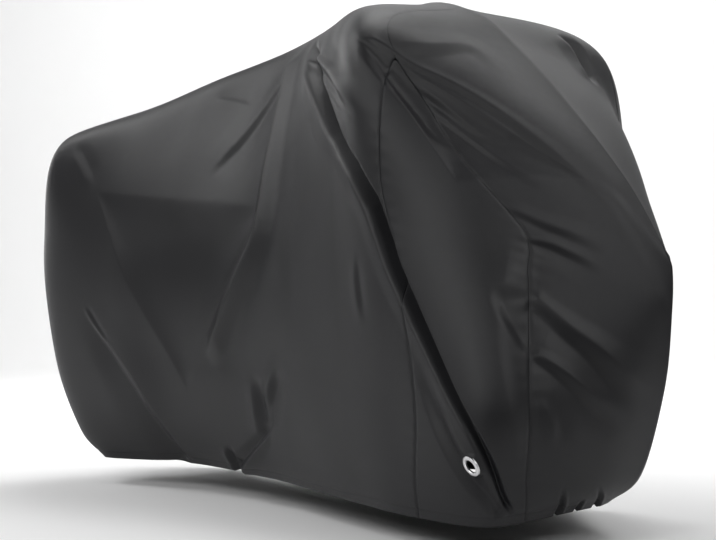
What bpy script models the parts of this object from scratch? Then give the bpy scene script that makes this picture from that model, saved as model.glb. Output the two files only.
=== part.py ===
"""Bicycle cover: a coated cloth cover hanging over a bicycle, in five separate pieces.

+X points to the front of the bicycle, -Y to its near side and +Z up.  The tables measure
from the steering axis at the height of the hem.  The finished pieces are moved so that the
origin lies under the top of the cover, where the bars carry it.
"""

import math

import bmesh
import bpy
import numpy as np
from mathutils import Vector

# --------------------------------------------------------------------------------------
# Driving dimensions, in metres
# --------------------------------------------------------------------------------------
CLOTH = 0.0016
SEAM_GAP = 0.0016
ANKLE_Z = 0.07
SKIRT_Z = 0.25
GRID_STEP = 0.0115
WEDGE_STEP = 0.0080
NEAR_TRIANGLES = 1900
FAR_TRIANGLES = 850
FRONT_TRIANGLES = 1150
WEDGE_TRIANGLES = 1300

# Point under the top of the cover that rests on the bars.
TOP_REST = (-0.170, 0.000, 1.106)

# Height up the cover at each level and distance round it at each section, for even grids.
LEVEL_HEIGHTS = (0.0, 0.075, 0.26, 0.56, 0.96, 1.20)
SECTION_DISTANCES = (0.0, 0.15, 0.27, 0.50, 0.69, 0.97, 1.20, 1.53, 1.64, 1.87, 2.00, 2.17, 2.27)

# One row for each section of the near half, from the middle of the rear end round the near
# side to the middle of the nose.  Each section runs hem, ankle, skirt, waist, shoulder,
# crest.  The ankle is given as the share of the way from the hem out to the skirt.
SECTION_COLUMNS = (
    "name", "hem_x", "hem_y", "hem_z", "ankle", "skirt_x", "skirt_y", "waist_x", "waist_y", "waist_z",
    "shoulder_x", "shoulder_y", "shoulder_z", "crest_x", "crest_z",
)
NEAR_SECTIONS = (
    ("rear", -1.150, 0.000, 0.000, 0.40, -1.340, 0.000, -1.368, 0.000, 0.550, -1.310, 0.000, 0.790, -1.260, 0.835),
    ("rear_turn", -1.165, -0.130, 0.000, 0.45, -1.350, -0.150, -1.378, -0.150, 0.550, -1.330, -0.130, 0.795, -1.240, 0.840),
    ("rear_corner", -1.130, -0.235, 0.000, 0.50, -1.305, -0.270, -1.345, -0.280, 0.550, -1.285, -0.255, 0.820, -1.190, 0.850),
    ("wheel_rear", -0.980, -0.190, 0.000, 0.45, -1.020, -0.270, -1.040, -0.290, 0.550, -1.030, -0.190, 0.880, -1.000, 0.895),
    ("wheel_front", -0.820, -0.160, 0.000, 0.50, -0.850, -0.250, -0.860, -0.280, 0.550, -0.850, -0.130, 0.934, -0.830, 0.950),
    ("saddle", -0.542, -0.200, 0.000, 0.50, -0.570, -0.260, -0.590, -0.260, 0.580, -0.620, -0.070, 0.988, -0.620, 1.022),
    ("pedal", -0.314, -0.268, 0.000, 0.50, -0.330, -0.310, -0.330, -0.300, 0.580, -0.370, -0.160, 1.022, -0.370, 1.066),
    ("stem", -0.020, -0.350, -0.003, 0.50, -0.060, -0.375, -0.100, -0.360, 0.580, -0.170, -0.270, 1.038, -0.170, 1.110),
    ("grip", 0.160, -0.388, -0.007, 0.50, 0.140, -0.410, 0.080, -0.400, 0.600, 0.000, -0.364, 1.004, -0.020, 1.080),
    ("fork", 0.345, -0.375, -0.015, 0.60, 0.380, -0.420, 0.270, -0.360, 0.560, 0.129, -0.278, 0.924, 0.090, 1.010),
    ("corner", 0.385, -0.290, -0.014, 0.60, 0.460, -0.310, 0.400, -0.240, 0.520, 0.286, -0.174, 0.805, 0.260, 0.860),
    ("nose_side", 0.392, -0.145, -0.003, 0.60, 0.515, -0.130, 0.515, -0.100, 0.450, 0.438, -0.073, 0.657, 0.430, 0.690),
    ("nose", 0.362, 0.000, 0.000, 0.62, 0.530, 0.000, 0.552, 0.000, 0.420, 0.553, 0.000, 0.500, 0.544, 0.530),
)
FAR_SECTIONS = (
    ("rear", -1.150, 0.000, 0.000, 0.40, -1.340, 0.000, -1.368, 0.000, 0.550, -1.310, 0.000, 0.790, -1.260, 0.835),
    ("rear_turn", -1.165, 0.130, 0.000, 0.45, -1.350, 0.150, -1.378, 0.150, 0.550, -1.330, 0.130, 0.795, -1.240, 0.840),
    ("rear_corner", -1.130, 0.235, 0.000, 0.50, -1.305, 0.270, -1.345, 0.280, 0.550, -1.285, 0.255, 0.820, -1.190, 0.850),
    ("wheel_rear", -0.980, 0.190, 0.000, 0.45, -1.020, 0.270, -1.040, 0.290, 0.550, -1.030, 0.190, 0.880, -1.000, 0.895),
    ("wheel_front", -0.820, 0.160, 0.000, 0.50, -0.850, 0.250, -0.860, 0.280, 0.550, -0.850, 0.130, 0.925, -0.830, 0.950),
    ("saddle", -0.542, 0.200, 0.000, 0.50, -0.570, 0.260, -0.590, 0.260, 0.580, -0.620, 0.070, 0.988, -0.620, 1.022),
    ("pedal", -0.314, 0.268, 0.000, 0.50, -0.330, 0.300, -0.330, 0.300, 0.580, -0.370, 0.150, 1.017, -0.370, 1.066),
    ("stem", -0.150, 0.330, 0.000, 0.50, -0.120, 0.350, -0.120, 0.360, 0.580, -0.170, 0.270, 1.022, -0.170, 1.110),
    ("grip", 0.000, 0.300, 0.000, 0.50, 0.060, 0.370, 0.060, 0.390, 0.600, 0.030, 0.365, 0.996, -0.020, 1.080),
    ("fork", 0.140, 0.200, 0.000, 0.60, 0.220, 0.270, 0.210, 0.280, 0.560, 0.129, 0.278, 0.900, 0.090, 1.010),
    ("corner", 0.230, 0.120, 0.000, 0.60, 0.370, 0.150, 0.380, 0.150, 0.520, 0.286, 0.174, 0.775, 0.260, 0.860),
    ("nose_side", 0.320, 0.070, 0.000, 0.60, 0.480, 0.060, 0.500, 0.050, 0.450, 0.438, 0.073, 0.630, 0.430, 0.690),
    ("nose", 0.362, 0.000, 0.000, 0.62, 0.530, 0.000, 0.552, 0.000, 0.420, 0.553, 0.000, 0.500, 0.544, 0.530),
)

# Seam lines: the section at which each seam crosses a level.  The two seams of the near
# half meet below the near grip and run on over the top as one.
SEAM_COLUMNS = ("level", "rear_seam", "front_seam")
NEAR_SEAMS = (
    (0.00, 8.23, 10.20),
    (1.10, 8.27, 9.97),
    (2.30, 8.33, 9.90),
    (2.90, 8.27, 9.88),
    (3.20, 8.19, 9.86),
    (3.40, 8.27, 9.50),
    (3.60, 8.38, 9.20),
    (3.80, 8.48, 8.93),
    (3.94, 8.56, 8.60),
)
TOP_SEAM = (
    (3.94, 8.58),
    (4.20, 8.22),
    (4.50, 7.90),
    (5.00, 7.70),
)
FAR_SEAM = (
    (0.00, 9.60),
    (2.30, 9.60),
    (3.20, 9.20),
    (3.80, 8.60),
    (4.20, 8.10),
    (4.50, 7.85),
    (5.00, 7.70),
)
WEDGE_TOP = 3.88

# Folds: each follows a few points given as (section, level), from its upper end down.  The
# cloth rises to the crest over the left width, falls to the trough over the drop and comes
# back level over the right width, as seen from outside with the fold running down.  The
# whole fold grows or shrinks along its way, to the size given as taper at its end.
FOLD_COLUMNS = (
    "name", "points", "crest", "trough", "left", "drop", "right", "taper", "fade_in", "fade_out",
)
NEAR_FOLDS = (
    ("saddle_roll", ((5.25, 4.00), (5.45, 3.50), (5.50, 3.05), (5.08, 2.57), (4.62, 2.08)), 0.020, 0.010, 0.055, 0.080, 0.10, 0.7, 0.12, 0.25),
    ("saddle_side", ((5.80, 3.60), (5.85, 3.30), (5.83, 3.03), (6.00, 2.60), (6.03, 2.20)), 0.000, 0.010, 0.03, 0.070, 0.14, 1.0, 0.35, 0.40),
    ("saddle_facet", ((5.27, 3.93), (4.87, 3.70), (4.73, 3.57), (4.47, 3.36)), 0.011, 0.003, 0.10, 0.050, 0.10, 0.8, 0.25, 0.30),
    (
        "great_fold",
        ((5.60, 3.93), (7.50, 3.27), (8.20, 2.67), (8.66, 2.10), (9.26, 1.40), (9.77, 0.23)),
        0.010, 0.030, 0.07, 0.050, 0.030, 0.5, 0.10, 0.03,
    ),
    ("shoulder_fold", ((6.07, 3.92), (7.27, 3.67), (7.93, 3.57), (8.30, 3.50)), 0.012, 0.004, 0.03, 0.050, 0.05, 1.0, 0.20, 0.45),
    ("grip_crease", ((7.93, 3.87), (8.43, 3.73), (8.73, 3.63), (8.97, 3.53), (9.37, 3.50)), 0.007, 0.010, 0.05, 0.022, 0.06, 1.3, 0.20, 0.30),
    ("grip_ridge", ((10.97, 3.93), (10.40, 4.00), (9.47, 4.00), (8.73, 3.97), (8.07, 4.00)), 0.005, 0.026, 0.05, 0.030, 0.10, 0.5, 0.45, 0.08),
    ("under_ridge", ((10.23, 3.86), (10.00, 3.83), (9.47, 3.83), (9.10, 3.84)), 0.005, 0.006, 0.02, 0.018, 0.03, 1.0, 0.30, 0.30),
    ("strip_valley", ((8.33, 2.20), (8.47, 1.83), (8.83, 1.10), (9.13, 0.67), (9.50, 0.10)), 0.000, 0.012, 0.02, 0.028, 0.035, 1.0, 0.40, 0.04),
    ("front_roll", ((9.50, 3.35), (9.40, 2.90), (9.42, 2.50), (9.50, 2.13), (9.80, 0.95)), 0.010, 0.010, 0.12, 0.060, 0.10, 1.0, 0.35, 0.30),
    ("inner_crease", ((9.33, 2.85), (9.41, 2.55), (9.63, 2.38), (9.93, 2.30)), 0.004, 0.018, 0.05, 0.022, 0.04, 0.8, 0.35, 0.15),
    ("nose_fold_high", ((11.5, 2.10), (11.0, 2.40), (10.5, 2.63), (10.2, 2.70), (9.83, 2.83)), 0.014, 0.012, 0.07, 0.050, 0.07, 0.5, 0.40, 0.20),
    ("nose_fold_low", ((11.1, 1.73), (10.7, 2.00), (10.3, 2.30), (9.88, 2.41)), 0.012, 0.010, 0.05, 0.040, 0.07, 0.6, 0.40, 0.20),
    ("nose_streak_high", ((10.7, 3.41), (10.1, 3.30), (9.65, 3.32)), 0.007, 0.004, 0.04, 0.026, 0.04, 0.7, 0.45, 0.25),
    ("nose_streak_low", ((10.6, 3.22), (10.2, 3.17), (9.75, 3.13)), 0.006, 0.008, 0.03, 0.022, 0.04, 0.7, 0.45, 0.30),
    (
        "rear_facet",
        (
            (4.75, 3.12), (3.87, 3.29), (3.30, 3.35), (2.72, 3.36), (3.00, 3.02), (3.25, 2.80),
            (3.77, 2.48), (4.03, 2.13), (4.32, 1.72),
        ),
        0.012, 0.018, 0.08, 0.110, 0.20, 1.0, 0.25, 0.18,
    ),
    ("rear_crease", ((3.93, 0.12), (3.83, 0.93), (3.50, 1.50), (3.13, 1.97), (2.60, 2.55)), 0.010, 0.012, 0.08, 0.025, 0.12, 0.4, 0.06, 0.20),
    ("hem_fold_rear", ((5.28, 2.00), (5.28, 1.63), (5.28, 1.18)), 0.008, 0.018, 0.04, 0.030, 0.04, 1.0, 0.45, 0.40),
    ("hem_fold_front", ((5.94, 2.20), (5.70, 1.87), (5.46, 1.46)), 0.006, 0.016, 0.04, 0.026, 0.04, 1.0, 0.45, 0.40),
    ("hem_fold_low", ((4.72, 0.05), (5.28, 1.03), (5.75, 1.45)), 0.008, 0.012, 0.04, 0.020, 0.03, 0.6, 0.04, 0.35),
    ("hem_pocket", ((4.60, 0.95), (4.60, 0.50), (4.55, 0.03)), 0.004, 0.010, 0.03, 0.020, 0.03, 1.0, 0.40, 0.02),
)
FAR_FOLDS = (
    ("far_grip_crease", ((8.30, 4.50), (8.60, 4.40), (8.95, 4.32), (9.20, 4.25)), 0.006, 0.014, 0.04, 0.025, 0.04, 1.0, 0.30, 0.30),
    ("far_saddle_roll", ((5.40, 3.95), (5.60, 3.30), (5.70, 2.60), (5.60, 1.80)), 0.020, 0.014, 0.10, 0.050, 0.10, 1.0, 0.20, 0.30),
    ("far_long_fold", ((5.80, 3.90), (6.60, 3.10), (7.40, 2.10), (8.30, 0.20)), 0.020, 0.020, 0.10, 0.040, 0.08, 1.0, 0.12, 0.10),
    ("far_rear_fold", ((4.60, 3.80), (3.80, 2.90), (3.20, 2.00), (3.00, 0.60)), 0.014, 0.012, 0.10, 0.050, 0.10, 1.0, 0.25, 0.25),
    ("far_hem_fold", ((6.30, 1.80), (6.30, 1.40), (6.20, 0.90), (6.10, 0.05)), 0.016, 0.012, 0.05, 0.040, 0.06, 1.0, 0.40, 0.05),
)

# The eyelet lies flat on the cloth on the rear flank of the great fold.
EYELET_CENTRE = (0.380, -0.413, 0.114)
EYELET_FACING = (-0.12, -0.89, -0.44)
EYELET_FLAT = 0.032
EYELET_BLEND = 0.044
EYELET_SIDES = 28
EYELET_BORE = 0.0140
EYELET_WALL = 0.0012
EYELET_RIM = 0.0235
EYELET_CLEAR = 0.0003
EYELET_HOLE = EYELET_BORE + EYELET_WALL + EYELET_CLEAR


# --------------------------------------------------------------------------------------
# Shape of the cloth
# --------------------------------------------------------------------------------------
def control_net(rows):
    """Points of the sections, indexed by section and by level."""
    net = []
    for row in rows:
        r = dict(zip(SECTION_COLUMNS, row))
        net.append((
            (r["hem_x"], r["hem_y"], r["hem_z"]),
            (
                r["hem_x"] + r["ankle"] * (r["skirt_x"] - r["hem_x"]),
                r["hem_y"] + r["ankle"] * (r["skirt_y"] - r["hem_y"]),
                ANKLE_Z,
            ),
            (r["skirt_x"], r["skirt_y"], SKIRT_Z),
            (r["waist_x"], r["waist_y"], r["waist_z"]),
            (r["shoulder_x"], r["shoulder_y"], r["shoulder_z"]),
            (r["crest_x"], 0.0, r["crest_z"]),
        ))
    return np.array(net)


def cubic(t, count):
    """First index and the four Catmull-Rom weights at positions t among count points."""
    t = np.clip(t, 0.0, count - 1.0)
    first = np.minimum(t.astype(int), count - 2)
    f = t - first
    weights = np.stack([
        -f + 2 * f**2 - f**3,
        2 - 5 * f**2 + 3 * f**3,
        f + 4 * f**2 - 3 * f**3,
        -(f**2) + f**3,
    ], -1) / 2
    return first, weights


def with_ends(net):
    """The net with one more row carried on past each end."""
    return np.concatenate([2 * net[:1] - net[1:2], net, 2 * net[-1:] - net[-2:-1]])


def base(net, u, v):
    """Smooth surface of one half at sections u and levels v, which are equal arrays."""
    wide = with_ends(with_ends(net).swapaxes(0, 1)).swapaxes(0, 1)
    i, across = cubic(u, net.shape[0])
    j, up = cubic(v, net.shape[1])
    points = np.zeros(np.shape(u) + (3,))
    for a in range(4):
        for b in range(4):
            points += (across[..., a] * up[..., b])[..., None] * wide[i + a, j + b]
    return points


def unit(vectors):
    """Vectors scaled to length one."""
    return vectors / np.maximum(np.linalg.norm(vectors, axis=-1, keepdims=True), 1e-9)


def facing(net, u, v, side):
    """Outward direction of the smooth surface; side is 1 on the near half and -1 on the far."""
    step = 0.02
    along = base(net, u + step, v) - base(net, u - step, v)
    up = base(net, u, v + step) - base(net, u, v - step)
    return side * unit(np.cross(along, up))


def ease(t):
    """0 to 1, level at both ends."""
    t = np.clip(t, 0.0, 1.0)
    return t * t * (3 - 2 * t)


def settle(t):
    """1 to 0 with a soft start and a long level end."""
    t = np.clip(t, 0.0, 1.0)
    return (1 - t) ** 2 * (1 + t)


def fold_lift(fold, d):
    """Height of a fold at the distance d to the right of its crest line."""
    crest, trough = fold["crest"], fold["trough"]
    rise = crest * settle(-d / fold["left"])
    fall = crest - (crest + trough) * ease(d / fold["drop"])
    back = -trough * settle((d - fold["drop"]) / fold["right"])
    return np.where(d < 0, rise, np.where(d < fold["drop"], fall, back))


def lay_on(net, u, v, targets):
    """Sections and levels of the points of the smooth surface that lie nearest to targets."""
    for _ in range(6):
        step = 0.01
        along = (base(net, u + step, v) - base(net, u - step, v)) / (2 * step)
        up = (base(net, u, v + step) - base(net, u, v - step)) / (2 * step)
        miss = targets - base(net, u, v)
        aa, ab, bb = (along**2).sum(1), (along * up).sum(1), (up**2).sum(1)
        am, bm = (along * miss).sum(1), (up * miss).sum(1)
        scale = np.maximum(aa * bb - ab**2, 1e-9)
        u = np.clip(u + (am * bb - bm * ab) / scale, 0, len(net) - 1)
        v = np.clip(v + (bm * aa - am * ab) / scale, 0, net.shape[1] - 1)
    return u, v


def fold_line(net, side, fold):
    """Points, tangents and outward directions along a fold, pulled straight over the cloth."""
    knots = np.array(fold["points"])
    first, weights = cubic(np.linspace(0, len(knots) - 1, 31), len(knots))
    route, reach = (
        sum(weights[:, k, None] * with_ends(p)[first + k] for k in range(4))
        for p in (knots, base(net, knots[:, 0], knots[:, 1]))
    )
    u, v = lay_on(net, route[:, 0], route[:, 1], reach)
    line = base(net, u, v)
    return line, unit(np.gradient(line, axis=0)), facing(net, u, v, side)


def fold_height(net, side, fold, points):
    """Height of one fold over the points of the smooth surface."""
    line, tangent, out = fold_line(net, side, fold)
    steps = np.linalg.norm(np.diff(line, axis=0), axis=1)
    run = np.concatenate([[0], np.cumsum(steps)])
    nearest = np.full(len(points), np.inf)
    place, offset = np.zeros((2, len(points)))
    for k in range(len(line) - 1):
        step = line[k + 1] - line[k]
        t = np.clip((points - line[k]) @ step / steps[k] ** 2, 0, 1)[:, None]
        gap = points - line[k] - t * step
        far = np.linalg.norm(gap, axis=1)
        right = np.cross(
            out[k] + t * (out[k + 1] - out[k]), tangent[k] + t * (tangent[k + 1] - tangent[k])
        )
        closer = far < nearest
        nearest = np.where(closer, far, nearest)
        place = np.where(closer, run[k] + t[:, 0] * steps[k], place)
        offset = np.where(closer, (gap * unit(right)).sum(1), offset)
    t = place / run[-1]
    fade = ease(t / fold["fade_in"]) * ease((1 - t) / fold["fade_out"])
    reach = 1.5 * max(fold["left"], fold["drop"] + fold["right"])
    size = 1 + (fold["taper"] - 1) * t
    return fade * ease(3 * (reach - nearest) / reach) * size * fold_lift(fold, offset / size)


def cloth(half, u, v):
    """Points of the folded cloth on one half ("near" or "far")."""
    rows, folds, side = (
        (NEAR_SECTIONS, NEAR_FOLDS, 1) if half == "near" else (FAR_SECTIONS, FAR_FOLDS, -1)
    )
    net = control_net(rows)
    u, v = np.ravel(u), np.ravel(v)
    points = base(net, u, v)
    lift = np.zeros(len(points))
    for row in folds:
        lift += fold_height(net, side, dict(zip(FOLD_COLUMNS, row)), points)
    points = points + lift[:, None] * facing(net, u, v, side)
    centre, out = np.array(EYELET_CENTRE), unit(np.array(EYELET_FACING))
    height = (points - centre) @ out
    away = np.linalg.norm(points - centre - height[:, None] * out, axis=1)
    share = ease((EYELET_BLEND - away) / (EYELET_BLEND - EYELET_FLAT))
    share = np.where(np.abs(height) < EYELET_BLEND, share, 0)
    return points - (share * height)[:, None] * out


# --------------------------------------------------------------------------------------
# Panels
# --------------------------------------------------------------------------------------
def smooth_table(rows, column, at):
    """A table's column as a smooth function of its first column."""
    x = np.array([row[0] for row in rows])
    y = np.array([row[column] for row in rows])
    slope = np.gradient(y, x)
    k = np.clip(np.searchsorted(x, at) - 1, 0, len(x) - 2)
    width = x[k + 1] - x[k]
    t = np.clip((at - x[k]) / width, 0, 1)
    return (
        (1 + 2 * t) * (1 - t) ** 2 * y[k]
        + t * (1 - t) ** 2 * width * slope[k]
        + t * t * (3 - 2 * t) * y[k + 1]
        - t * t * (1 - t) * width * slope[k + 1]
    )


def near_seam(column, at):
    """Section of the rear (1) or front (2) seam of the near half at some levels."""
    return np.where(
        at < NEAR_SEAMS[-1][0], smooth_table(NEAR_SEAMS, column, at), smooth_table(TOP_SEAM, 1, at)
    )


def levels(top, spacing):
    """Levels from the hem to the given one, evenly spaced up the cover."""
    height = np.interp(top, range(len(LEVEL_HEIGHTS)), LEVEL_HEIGHTS)
    count = round(height / spacing)
    return np.interp(np.linspace(0, height, count + 1), LEVEL_HEIGHTS, range(len(LEVEL_HEIGHTS)))


def sections_between(start, end, spacing):
    """For each level a row of sections from start to end, evenly spaced round the cover."""
    places = range(len(SECTION_DISTANCES))
    first = np.interp(start, places, SECTION_DISTANCES)
    last = np.interp(end, places, SECTION_DISTANCES)
    count = max(6, round(np.max(np.abs(last - first)) / spacing))
    share = np.linspace(0, 1, count + 1)
    distance = first[:, None] + share * (last - first)[:, None]
    return np.interp(distance, SECTION_DISTANCES, places)


def sheet(half, v, start, end, spacing=GRID_STEP):
    """Grid of cloth points for the levels v, between the sections start and end."""
    u = sections_between(start, end, spacing)
    grid = np.broadcast_to(v[:, None], u.shape)
    return cloth(half, u, grid).reshape(u.shape + (3,))


def pull_in(grid, first, last):
    """Moves a grid's first and last columns half a seam gap into the grid."""
    grid = grid.copy()
    if first:
        grid[:, 0] += unit(grid[:, 1] - grid[:, 0]) * SEAM_GAP / 2
    if last:
        grid[:, -1] += unit(grid[:, -2] - grid[:, -1]) * SEAM_GAP / 2
    return grid


def cloth_material(name, colour):
    """Coated polyester: near black with a soft sheen."""
    material = bpy.data.materials.new(name)
    material.use_nodes = True
    shader = material.node_tree.nodes["Principled BSDF"]
    shader.inputs["Base Color"].default_value = (*colour, 1.0)
    shader.inputs["Roughness"].default_value = 0.5
    shader.inputs["Metallic"].default_value = 0.0
    material.diffuse_color = (*colour, 1.0)
    return material


def panel(name, grids, triangles, material):
    """One piece of cloth from grids of points, joined where their edges meet."""
    bm = bmesh.new()
    for grid, turned in grids:
        rows, columns = grid.shape[:2]
        points = [[bm.verts.new(p) for p in line] for line in grid]
        for i in range(rows - 1):
            for j in range(columns - 1):
                face = [points[i][j], points[i][j + 1], points[i + 1][j + 1], points[i + 1][j]]
                bm.faces.new(face[::-1] if turned else face)
    bmesh.ops.remove_doubles(bm, verts=bm.verts, dist=1e-6)
    bmesh.ops.triangulate(bm, faces=bm.faces)
    ring = Vector(EYELET_CENTRE)
    inside = [
        v.index for v in bm.verts if not v.is_boundary and (v.co - ring).length > EYELET_FLAT
    ]
    count = len(bm.faces)
    mesh = bpy.data.meshes.new(name)
    bm.to_mesh(mesh)
    bm.free()
    mesh.shade_smooth()
    mesh.materials.append(material)
    obj = bpy.data.objects.new(name, mesh)
    obj.location = -Vector(TOP_REST)
    bpy.context.scene.collection.objects.link(obj)
    inner = obj.vertex_groups.new(name="inner")
    inner.add(inside, 1.0, "REPLACE")
    fewer = obj.modifiers.new("Fewer", "DECIMATE")
    fewer.ratio = triangles / count
    fewer.vertex_group = "inner"
    fewer.vertex_group_factor = 1.0
    thick = obj.modifiers.new("Thickness", "SOLIDIFY")
    thick.thickness = CLOTH
    thick.offset = -1.0
    return obj


def build_cover():
    """The four pieces of cloth."""
    black = (0.013, 0.013, 0.015)
    middle, nose = 0.0, len(NEAR_SECTIONS) - 1.0
    full = levels(len(LEVEL_HEIGHTS) - 1.0, GRID_STEP)
    rear_seam, front_seam = near_seam(1, full), near_seam(2, full)
    far_seam = smooth_table(FAR_SEAM, 1, full)

    near = pull_in(sheet("near", full, middle + 0 * full, rear_seam), False, True)
    near -= (0.0, SEAM_GAP / 2, 0.0)
    fabric = cloth_material("cloth_side_near", black)
    panel("side_panel_near", [(near, False)], NEAR_TRIANGLES, fabric)

    far = pull_in(sheet("far", full, middle + 0 * full, far_seam), False, True)
    far += (0.0, SEAM_GAP / 2, 0.0)
    fabric = cloth_material("cloth_side_far", black)
    panel("side_panel_far", [(far, True)], FAR_TRIANGLES, fabric)

    front = pull_in(sheet("near", full, front_seam, nose + 0 * full), True, False)
    beyond = pull_in(sheet("far", full, far_seam, nose + 0 * full), True, False)
    grids = [(front, False), (beyond, True)]
    panel("front_panel", grids, FRONT_TRIANGLES, cloth_material("cloth_front", black))

    low = levels(WEDGE_TOP, WEDGE_STEP)
    wedge = sheet("near", low, near_seam(1, low), near_seam(2, low), WEDGE_STEP)
    wedge = pull_in(wedge, True, True)
    wedge[-1] += unit(wedge[-2] - wedge[-1]) * SEAM_GAP
    fabric = cloth_material("cloth_wedge", black)
    return panel("wedge_panel_near", [(wedge, False)], WEDGE_TRIANGLES, fabric)


def build_eyelet(wedge):
    """The ring pressed through the wedge panel, and the hole that it lines."""
    centre = Vector(EYELET_CENTRE) - Vector(TOP_REST)
    turn = Vector(EYELET_FACING).to_track_quat("Z", "Y")

    bpy.ops.mesh.primitive_cylinder_add(vertices=EYELET_SIDES, radius=EYELET_HOLE, depth=0.02)
    cutter = bpy.context.object
    cutter.name = "eyelet_cutter"
    cutter.rotation_mode = "QUATERNION"
    cutter.rotation_quaternion = turn
    cutter.location = centre
    cutter.hide_render = True
    cutter.display_type = "WIRE"
    hole = wedge.modifiers.new("Eyelet hole", "BOOLEAN")
    hole.object = cutter
    hole.solver = "EXACT"

    top, back = EYELET_CLEAR, -CLOTH - EYELET_CLEAR
    bore, barrel, rim = EYELET_BORE, EYELET_BORE + EYELET_WALL, EYELET_RIM
    lip = EYELET_WALL
    profile = (
        (bore, top + lip * 0.6), (bore + lip, top + lip * 1.3), (rim - lip, top + lip * 1.1),
        (rim, top + lip * 0.4), (rim - lip * 0.3, top), (barrel, top),
        (barrel, back), (rim - lip, back), (rim - lip, back - lip * 0.8), (bore, back - lip * 0.8),
    )
    bm = bmesh.new()
    rings = []
    for k in range(EYELET_SIDES):
        angle = 2 * math.pi * k / EYELET_SIDES
        rings.append([bm.verts.new((r * math.cos(angle), r * math.sin(angle), z)) for r, z in profile])
    for k in range(EYELET_SIDES):
        one, two = rings[k], rings[(k + 1) % EYELET_SIDES]
        for i in range(len(profile)):
            j = (i + 1) % len(profile)
            bm.faces.new((one[i], one[j], two[j], two[i]))
    bmesh.ops.recalc_face_normals(bm, faces=bm.faces)
    mesh = bpy.data.meshes.new("eyelet_near")
    bm.to_mesh(mesh)
    bm.free()
    mesh.shade_smooth()
    steel = bpy.data.materials.new("eyelet_metal")
    steel.use_nodes = True
    shader = steel.node_tree.nodes["Principled BSDF"]
    shader.inputs["Base Color"].default_value = (0.80, 0.80, 0.82, 1.0)
    shader.inputs["Metallic"].default_value = 1.0
    shader.inputs["Roughness"].default_value = 0.25
    steel.diffuse_color = (0.80, 0.80, 0.82, 1.0)
    mesh.materials.append(steel)
    eyelet = bpy.data.objects.new("eyelet_near", mesh)
    eyelet.rotation_mode = "QUATERNION"
    eyelet.rotation_quaternion = turn
    eyelet.location = centre
    bpy.context.scene.collection.objects.link(eyelet)


for leftover in list(bpy.data.objects):
    bpy.data.objects.remove(leftover, do_unlink=True)
build_eyelet(build_cover())
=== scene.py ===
# %% [markdown]
# # A bicycle cover
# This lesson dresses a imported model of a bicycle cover: a big bag of thin coated cloth
# that hangs over the bars and the saddle and ends in a hem just above the ground.  The
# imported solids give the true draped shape.  Here each one is replaced by a finer sheet of
# the same shape, with sharper creases, sewn seams, a turned hem and a woven, coated look.

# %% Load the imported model
import math

import bmesh
import bpy
import numpy as np
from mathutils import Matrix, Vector


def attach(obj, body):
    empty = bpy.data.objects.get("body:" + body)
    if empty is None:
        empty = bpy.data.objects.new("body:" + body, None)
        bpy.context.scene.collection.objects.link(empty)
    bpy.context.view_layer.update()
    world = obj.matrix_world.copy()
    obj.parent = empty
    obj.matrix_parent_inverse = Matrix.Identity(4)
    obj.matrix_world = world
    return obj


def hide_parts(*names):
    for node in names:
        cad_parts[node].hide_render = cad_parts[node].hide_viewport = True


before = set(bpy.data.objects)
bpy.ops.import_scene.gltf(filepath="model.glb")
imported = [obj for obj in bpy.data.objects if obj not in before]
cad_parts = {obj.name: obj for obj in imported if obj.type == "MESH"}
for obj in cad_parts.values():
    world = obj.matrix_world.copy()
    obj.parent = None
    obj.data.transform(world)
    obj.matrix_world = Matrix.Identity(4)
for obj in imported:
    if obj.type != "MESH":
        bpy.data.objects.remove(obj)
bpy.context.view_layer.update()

# %% [markdown]
# ## The shape of the drape
# A fitted cover is sewn from a few big panels, so its drape is one broad surface with
# folds on it.  Sculpting that by hand can't be repeated or corrected.  Here a small table
# of sections is walked from the rear end round to the nose, each with six heights from
# the hem to the crest, and smooth curves are drawn through them both ways.

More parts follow.
